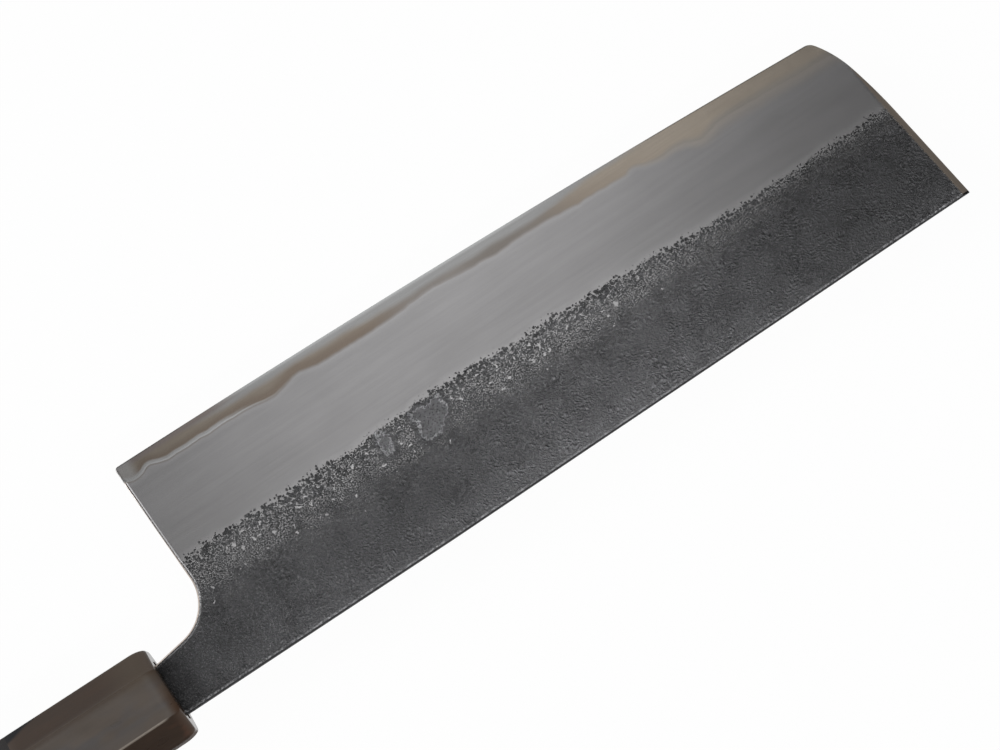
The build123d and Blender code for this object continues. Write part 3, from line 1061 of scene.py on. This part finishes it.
def core_material():
    graph = Graph("core_steel")
    between, noise, mix, blend = graph.between, graph.noise, graph.mix, graph.blend
    times, total, minus, fact = graph.times, graph.total, graph.minus, graph.fact
    x, y = graph.x, graph.y
    to_edge = fact("to_edge")
    to_lamination = fact("to_lamination")
    on_tip_bevel = fact("on_tip_bevel")
    streaks = noise((14, 0.25, 4), 3, 0.6, 2)
    clouds = noise(7, 3, 0.5, 6)
    level = total(0.8, times(streaks, 0.25), times(clouds, 0.15))
    tip_share = between(x, 100, 160)
    brown = graph.tone(mix(tip_share, BROWN_STEEL, TIP_STEEL), level)
    light_brown = graph.tone(mix(tip_share, rgb(0.205, 0.178, 0.15), TIP_STEEL), level)
    pale = graph.tone(rgb(0.25, 0.25, 0.25), level)
    wander = minus(noise((9, 2.5, 2.5), 2, 0.5, 9), 0.5)
    colour = mix(between(to_lamination, -1, -2.6), brown, light_brown)
    from_middle = graph.math("ABSOLUTE", minus(x, 101))
    dusk = graph.tone(grey(1), between(x, 95, 106, 0.21, 0.155))
    colour = mix(between(from_middle, 28, 12, 0, 0.5), colour, dusk)
    along = times(between(x, 22, 36), between(x, 152, 132))
    width = total(
        between(x, 26, 44, 0.3, 1.7),
        between(x, 66, 86, 0, 0.6),
        between(x, 112, 138, 0, -1.8),
    )
    strip = total(minus(to_edge, width), times(wander, 1.2))
    strip = times(along, between(strip, 0.8, -0.8))
    colour = mix(strip, colour, pale)
    gleam = between(x, 33, 44, 0, 0.8)
    gleam = times(gleam, between(x, 124, 108))
    gleam = times(gleam, between(to_edge, 0.8, 0))
    colour = mix(gleam, colour, rgb(0.4, 0.41, 0.41))
    heel = between(x, 48, 36)
    dusky = between(to_edge, 1.6, 0.6)
    rosy = graph.tone(rgb(0.19, 0.165, 0.155), level)
    colour = mix(times(heel, dusky), colour, rosy)
    near_line = times(heel, between(to_lamination, -1.1, -0.6))
    silver = graph.tone(rgb(0.31, 0.31, 0.31), level)
    colour = mix(times(near_line, 0.9), colour, silver)
    bright = between(x, 58, 40, 0, 0.9)
    bright = times(bright, between(to_lamination, -0.5, -0.25))
    colour = mix(bright, colour, grey(0.36))
    corner = between(x, 19.5, 17, 0, 0.7)
    colour = mix(corner, colour, silver)
    blur = between(x, 135, 165, 0.35, 2)
    faded = between(graph.math("DIVIDE", to_lamination, blur), -1, 0, 0, 0.5)
    faded = times(faded, between(x, 36, 48))
    colour = mix(faded, colour, grey(0.225))
    thin = between(to_edge, 0.3, 0.1)
    at_ends = total(between(x, 34, 28), between(x, 140, 150))
    colour = mix(times(thin, at_ends, 0.6), colour, grey(0.05))
    colour = mix(on_tip_bevel, colour, POLISHED_STEEL)
    scaled = between(y, 2, 1)
    colour = mix(scaled, colour, graph.tone(grey(0.014), level))
    return graph.finish(
        bump=streaks,
        bump_height=0.002,
        Base_Color=colour,
        Metallic=minus(1, scaled),
        Roughness=blend(scaled, total(0.18, times(clouds, 0.08)), 0.7),
        Specular_IOR_Level=0.15,
    )


def horn_material():
    graph = Graph("horn")
    between, noise, mix, blend = graph.between, graph.noise, graph.mix, graph.blend
    times, total, minus = graph.times, graph.total, graph.minus
    x, y, z = graph.x, graph.y, graph.z
    fibres = noise((30, 2.2, 2.2), 3, 0.55, 1)
    clouds = noise((9, 4, 5), 2, 0.5, 3.4)
    fine = noise((6, 0.3, 0.3), 2, 0.5, 5)
    tone = total(0.55, times(fibres, 0.5), times(clouds, 0.5))
    # The middle facets get a paler horn colour: partly a paler streak of horn, partly painted light
    # that lifts the facet facing up above its neighbours.
    pale = times(between(y, -5.3, -4.9), between(y, 6.3, 3.6))
    colour = mix(pale, rgb(0.03, 0.0145, 0.006), rgb(0.085, 0.069, 0.057))
    colour = graph.tone(colour, tone)
    olive = times(between(x, -14, -2), between(y, 1, 7))
    colour = mix(times(olive, 0.6), colour, rgb(0.07, 0.05, 0.03))
    smoky = noise((9, 3.5, 4), 1, 0.5, 7.3)
    middle = times(between(y, 3.5, 0.5), between(y, -4.6, -1.5))
    smoky = times(pale, between(smoky, 0.38, 0.62), total(0.3, middle))
    colour = mix(times(smoky, 0.5), colour, rgb(0.068, 0.066, 0.069))
    embers = times(between(clouds, 0.47, 0.66), between(y, -5.5, -8))
    embers = times(embers, between(y, -10.3, -9.4, 0.2, 1))
    colour = mix(times(embers, 0.8), colour, rgb(0.1, 0.036, 0.016))
    wedge = total(y, times(x, -0.23), times(clouds, 1.6))
    dark_end = times(between(wedge, 17.1, 17.9), between(y, 4.4, 5.6))
    colour = mix(dark_end, colour, rgb(0.006, 0.006, 0.008))
    # Painted highlight: a light line along the eased long edge beside the middle facet.
    crease = graph.math("ADD", times(x, 0.0025), minus(y, 5.12))
    crease = between(graph.math("ABSOLUTE", crease), 0.4, 0.1, 0, 0.28)
    colour = mix(crease, colour, rgb(0.1, 0.082, 0.068))
    front = between(x, -2.6, -0.4)
    low = between(y, 3, -5)
    glow = times(front, total(0.35, times(low, 0.65)))
    colour = mix(glow, colour, rgb(0.065, 0.034, 0.018))
    # Painted highlight: a light spot on the eased long edge where the front rounding begins.
    corner = total(y, 5.12, times(x, -0.0025))
    wear_and_highlight = between(graph.math("ABSOLUTE", corner), 0.32, 0.1)
    wear_and_highlight = times(wear_and_highlight, between(x, -2.5, -4.5), 0.75)
    wear_and_highlight = times(wear_and_highlight, between(graph.math("ABSOLUTE", z), 7, 8))
    colour = mix(wear_and_highlight, colour, rgb(0.3, 0.26, 0.22))
    satin = total(0.24, times(clouds, 0.12))
    face = between(x, -0.25, -0.05)
    underside = between(y, -9.6, -10.1)
    return graph.finish(
        bump=total(fine, fibres),
        bump_height=0.008,
        Base_Color=colour,
        IOR=1.4,
        Roughness=blend(
            graph.either(underside, dark_end), blend(face, satin, 0.2), 0.7
        ),
    )


def ebony_material():
    graph = Graph("ebony")
    grain = graph.noise((30, 0.7, 0.7), 4, 0.65, 1)
    bands = graph.noise((60, 4, 4), 2, 0.5, 3)
    pores = graph.between(graph.noise((5, 0.14, 0.14), 2, 0.5, 5), 0.62, 0.7)
    tone = graph.total(0.55, graph.times(grain, 0.7), graph.times(bands, 0.4))
    colour = graph.tone(rgb(0.022, 0.02, 0.02), tone)
    colour = graph.mix(graph.times(pores, 0.7), colour, grey(0.006))
    return graph.finish(
        bump=graph.minus(graph.times(grain, 0.3), pores),
        bump_height=0.02,
        Base_Color=colour,
        Roughness=graph.total(0.42, graph.times(grain, 0.2)),
        Specular_IOR_Level=0.25,
    )


def dowel_material():
    graph = Graph("dowel_wood")
    grain = graph.noise((30, 0.8, 0.8), 4, 0.6, 1)
    fine = graph.noise((8, 0.2, 0.2), 2, 0.5, 2)
    colour = graph.mix(grain, rgb(0.42, 0.29, 0.17), rgb(0.66, 0.5, 0.33))
    return graph.finish(
        bump=graph.total(grain, fine),
        bump_height=0.02,
        Base_Color=colour,
        Roughness=graph.total(0.5, graph.times(fine, 0.2)),
    )


def adhesive_material():
    graph = Graph("set_resin")
    clouds = graph.noise(2.5, 3, 0.6, 1)
    colour = graph.mix(clouds, rgb(0.12, 0.09, 0.06), rgb(0.24, 0.19, 0.13))
    return graph.finish(
        bump=clouds,
        bump_height=0.05,
        Base_Color=colour,
        Roughness=graph.total(0.35, graph.times(clouds, 0.2)),
    )


# Light, floor and camera


def build_world():
    """The room: one radiance for every kind of ray, a little darker overhead than round about."""
    world = bpy.data.worlds.new("room")
    bpy.context.scene.world = world
    world.use_nodes = True
    tree = world.node_tree
    background = tree.nodes["Background"]
    direction = tree.nodes.new("ShaderNodeTexCoord").outputs["Generated"]
    split = tree.nodes.new("ShaderNodeSeparateXYZ")
    tree.links.new(direction, split.inputs[0])
    level = tree.nodes.new("ShaderNodeMapRange")
    level.interpolation_type = "SMOOTHSTEP"
    tree.links.new(split.outputs["Z"], level.inputs[0])
    for socket, value in zip(level.inputs[1:5], (0.1, 0.85, 0.22, 0.37)):
        socket.default_value = value
    tree.links.new(level.outputs[0], background.inputs["Strength"])
    background.inputs["Color"].default_value = grey(1.0)


def area_lamp(name, place, aim, width, length, radiance, turn=0.0):
    """A rectangular lamp, its place and aim in metres, with the radiance of its face."""
    lamp = bpy.data.lights.new(name, "AREA")
    lamp.shape = "RECTANGLE"
    lamp.size = width
    lamp.size_y = length
    lamp.energy = radiance * pi * width * length
    holder = bpy.data.objects.new(name, lamp)
    show(holder)
    away = (Vector(place) - Vector(aim)).normalized()
    facing = away.to_track_quat("Z", "Y").to_matrix().to_4x4()
    holder.matrix_world = Matrix.Translation(place) @ facing @ Matrix.Rotation(turn, 4, "Z")


def build_floor(level):
    """White paper, drawn as pure white to the camera and in mirrors, with a trace of shadow."""
    half = 3.0
    corners = [(-half, -half, level), (half, -half, level), (half, half, level)]
    corners.append((-half, half, level))
    mesh = bpy.data.meshes.new("floor")
    mesh.from_pydata(corners, [], [(0, 1, 2, 3)])
    graph = Graph("paper")
    graph.tree.nodes.remove(graph.shader)
    white = graph.add("BsdfDiffuse", {"Color": grey(0.85)}).outputs[0]
    shining = graph.add("Emission", {"Color": grey(1.0), "Strength": 1.0}).outputs[0]
    rays = graph.add("LightPath").outputs
    seen = graph.total(rays["Is Camera Ray"], rays["Is Glossy Ray"], rays["Is Transmission Ray"])
    share = graph.times(graph.math("MINIMUM", seen, 1.0), 0.97)
    mixed = graph.add("MixShader", {0: share, 1: white, 2: shining})
    surface = graph.tree.nodes["Material Output"].inputs["Surface"]
    graph.tree.links.new(mixed.outputs[0], surface)
    mesh.materials.append(graph.material)
    floor = bpy.data.objects.new("floor", mesh)
    show(floor)


def build_camera():
    roll, lean, side = (radians(v) for v in (CAMERA_ROLL, CAMERA_LEAN, CAMERA_SIDE))
    across = Vector((cos(roll), -sin(roll), 0))
    upward = Vector((sin(roll), cos(roll), 0))
    back = Vector((0, 0, cos(lean))) - sin(lean) * upward + sin(side) * across
    back.normalize()
    right = upward.cross(back).normalized()
    up = back.cross(right)
    camera = bpy.data.cameras.new("camera")
    camera.lens = CAMERA_LENS
    camera.sensor_width = 36.0
    camera.clip_start = 0.01
    holder = bpy.data.objects.new("camera", camera)
    show(holder)
    turned = Matrix((right, up, back)).transposed().to_4x4()
    place = (Vector(CAMERA_TARGET) + CAMERA_DISTANCE * back) * MM
    holder.matrix_world = Matrix.Translation(place) @ turned
    bpy.context.scene.camera = holder


def paint(node, material):
    """Gives a carried-over CAD node its material."""
    slots = node.data.materials
    if not slots:
        slots.append(material)
    for k in range(len(slots)):
        slots[k] = material


bpy.context.scene.view_settings.view_transform = "Standard"

outline, easing = blade_outline()
left_sheet = Sheet(outline, easing, 11)
right_sheet = Sheet(outline, easing, 47)

# Worn patches: middle, reaches, and whether they are square
LEFT_PATCHES = ((76.0, 17.4, 3.7, 3.3, True), (64.8, 18.6, 1.4, 2.4, False))
RIGHT_PATCHES = ((118.0, 15.0, 3.0, 2.4, True), (49.0, 18.0, 1.6, 2.4, False))

left_cladding = build_cladding(
    "left_cladding", left_sheet, 1, cladding_material("cladding_left", LEFT_PATCHES, 0.0)
)
right_cladding = build_cladding(
    "right_cladding", right_sheet, -1, cladding_material("cladding_right", RIGHT_PATCHES, 40.0)
)
core_plate = build_core("core_plate", left_sheet, right_sheet, core_material())
horn_ferrule = build_ferrule(horn_material())
ebony_handle = build_handle(ebony_material())

for piece, node, slot in (
    (left_cladding, "cladding_left", "cladding"),
    (right_cladding, "cladding_right", "cladding"),
    (core_plate, "core_steel", "core_steel"),
    (horn_ferrule, "ferrule", "ferrule"),
    (ebony_handle, "handle_body", "handle_body"),
):
    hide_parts(node)

paint(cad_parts["dowel"], dowel_material())
paint(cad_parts["tang_adhesive"], adhesive_material())

build_world()
area_lamp("overhead", (0.145, 0.255, 1.2), (0.10, 0.017, 0.0), 0.31, 0.6, 1.1)
area_lamp("window", (-0.92, 0.68, 0.85), (0.03, 0.01, 0.0), 0.75, 0.75, 6.5)
area_lamp("strip", (0.05, -0.64, 1.0), (0.03, 0.0, 0.0), 1.2, 0.14, 6.0)
handle_growth = HANDLE_LENGTH * tan(radians(HANDLE_TAPER_ANGLE))
build_floor(-(HANDLE_FRONT_WIDTH / 2 + handle_growth) * MM)
build_camera()
